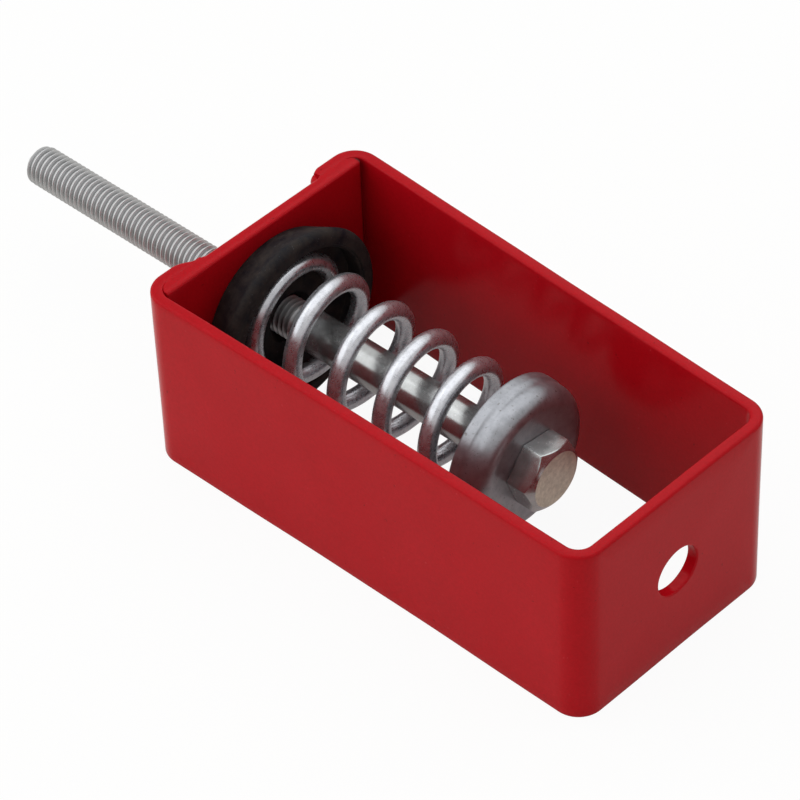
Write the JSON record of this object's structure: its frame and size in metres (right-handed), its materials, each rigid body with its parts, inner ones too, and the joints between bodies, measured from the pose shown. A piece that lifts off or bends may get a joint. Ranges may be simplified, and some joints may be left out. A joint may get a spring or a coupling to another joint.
{
  "type": "spring vibration isolator",
  "caption": "Spring hanger: a bent strip frame with a rubber seat, a coil spring, a cup washer and a long hexagon bolt whose threaded rod carries the hung load.",
  "frame": {"origin": "centre of the hanger hole, on the outer face of the frame's plain end", "axes": "+X out of the hanger hole, along the frame away from the threaded rod; +Z across the strip, up from the edges that the part lies on"},
  "size_m": [0.2441, 0.0826, 0.06],
  "materials": {
    "red_paint": "semi-gloss red powder coat with a fine orange peel",
    "black_rubber": "matt moulded rubber",
    "spring_zinc": "bright zinc plate, lightly marked",
    "cup_zinc": "satin zinc plate with small pits",
    "bolt_zinc": "zinc plate, polished shank and rolled thread"
  },
  "bodies": {
    "frame_body": {"strap": "red_paint", "end_plate": "red_paint", "near_weld": "red_paint", "far_weld": "red_paint", "rubber_seat": "black_rubber", "spring": "spring_zinc"},
    "cup_body": {"cup_washer": "cup_zinc"},
    "bolt_body": {"bolt": "bolt_zinc"}
  },
  "joints": [
    {"name": "spring_travel", "type": "slide", "parent": "frame_body", "child": "cup_body", "axis": [-0.9996, -0.0286, 0], "range_m": [0, 0.025], "stiffness_N_per_m": 33000, "deforming": ["spring"]},
    {"name": "bolt_turn", "type": "hinge", "parent": "cup_body", "child": "bolt_body", "pos_m": [-0.05404, 0.00323, 0], "axis": [0.9996, 0.0286, 0], "continuous": true}
  ]
}
